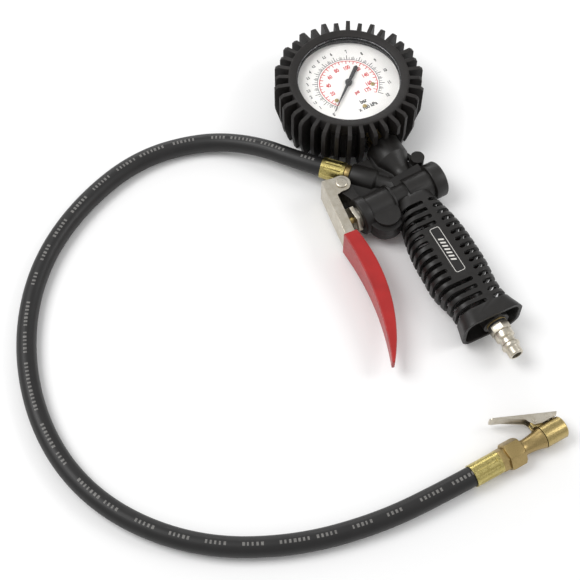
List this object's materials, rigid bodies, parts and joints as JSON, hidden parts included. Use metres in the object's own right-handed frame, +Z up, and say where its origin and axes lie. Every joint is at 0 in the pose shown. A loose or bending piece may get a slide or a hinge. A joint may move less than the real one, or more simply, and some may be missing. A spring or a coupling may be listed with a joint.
{
  "type": "tyre inflator with gauge",
  "caption": "Hand-held tyre inflator: slotted pistol grip with a trigger lever, dial gauge in a finned rubber boot, and a hose ending in a clip-on valve connector.",
  "frame": {"origin": "centre of the gun's box (hose and connector left out), on the surface that it lies on", "axes": "+Y runs up the handle towards the gauge, +X along the valve barrel towards its rear cap, +Z up, out of the dial"},
  "size_m": [0.3674, 0.3564, 0.043],
  "materials": {
    "nylon": "moulded glass-filled nylon, fine satin",
    "label": "blank printed label, satin",
    "brass": "turned, bright",
    "ferrule_brass": "swaged, bright",
    "nickel": "nickel-plated pressed steel, satin",
    "seal_rubber": "nitrile, matt",
    "spring_steel": "drawn wire",
    "red_vinyl": "moulded vinyl grip, semi-gloss",
    "boot_rubber": "moulded rubber, matt",
    "case_steel": "black-painted pressed steel",
    "clear_lens": "clear polished window",
    "dial_white": "white enamelled sheet",
    "pointer_black": "black-painted sheet",
    "hose_rubber": "extruded rubber, satin"
  },
  "bodies": {
    "root": {"gun_body": "nylon", "label_plate": "label", "gauge_port_bush": "brass", "hose_port_bush": "brass", "inlet_pipe": "nylon", "base_insert": "brass", "plug_washer": "seal_rubber", "air_plug": "nickel", "valve_sleeve": "brass", "gland_nut": "nickel", "gland_seal": "seal_rubber", "return_spring": "spring_steel", "rear_cap": "nylon", "rear_cap_o_ring": "seal_rubber", "lever_pivot_pin": "nickel", "gauge_boot": "boot_rubber", "gauge_case": "case_steel", "blow_out_plug": "seal_rubber", "bezel_ring": "case_steel", "gauge_lens": "clear_lens", "lens_gasket": "seal_rubber", "dial_plate": "dial_white", "dial_screws": "brass", "gauge_socket": "brass", "bourdon_tube": "brass", "bourdon_tip": "brass", "movement_plates": "brass", "hairspring": "spring_steel", "gun_end_hose_tail": "brass", "gun_end_ferrule": "ferrule_brass", "tyre_end_hose_tail": "brass", "tyre_end_ferrule": "ferrule_brass", "hose": "hose_rubber", "chuck_body": "brass", "chuck_head": "brass", "clip_pin": "nickel", "chuck_seal": "seal_rubber", "valve_depressor": "brass", "clip_spring": "spring_steel"},
    "lever": {"lever_channel": "nickel", "lever_sleeve": "red_vinyl"},
    "spool": {"push_spool": "brass", "spool_o_rings": "seal_rubber"},
    "sector": {"sector_gear": "brass"},
    "pointer_body": {"pinion_arbor": "brass", "pointer": "pointer_black"},
    "link": {"link_rod": "brass"},
    "clip": {"clip_lever": "nickel"}
  },
  "joints": [
    {"name": "lever_hinge", "type": "hinge", "parent": "root", "child": "lever", "pos_m": [-0.03015, 0.02391, 0.015], "axis": [0, 0, 1], "range_deg": [0, 14], "stiffness_Nm_per_rad": 1.2, "springref_deg": -17.19},
    {"name": "spool_slide", "type": "slide", "parent": "root", "child": "spool", "axis": [1, 0, 0], "range_m": [0, 0.0062], "deforming": ["return_spring"]},
    {"name": "sector_swing", "type": "hinge", "parent": "root", "child": "sector", "pos_m": [0.01565, 0.07361, 0.022], "axis": [0, 0, 1], "range_deg": [0, 33.5], "stiffness_Nm_per_rad": 0.002, "springref_deg": -11.46},
    {"name": "pointer_spin", "type": "hinge", "parent": "root", "child": "pointer_body", "pos_m": [0.01565, 0.09161, 0.03], "axis": [0, 0, -1], "range_deg": [0, 268], "deforming": ["hairspring"]},
    {"name": "link_turn", "type": "hinge", "parent": "sector", "child": "link", "pos_m": [0.01565, 0.06661, 0.023], "axis": [0, 0, 1], "range_deg": [-33.5, 0]},
    {"name": "clip_hinge", "type": "hinge", "parent": "root", "child": "clip", "pos_m": [-0.01055, -0.18979, 0.0085], "axis": [0, 0, 1], "range_deg": [0, 18], "stiffness_Nm_per_rad": 0.05, "springref_deg": -28.65, "deforming": ["clip_spring"]}
  ],
  "couplings": [
    {"joint": "spool_slide", "follows": "lever_hinge", "m_per_rad": 0.0253},
    {"joint": "pointer_spin", "follows": "sector_swing", "ratio": 8},
    {"joint": "link_turn", "follows": "sector_swing", "ratio": -1}
  ]
}
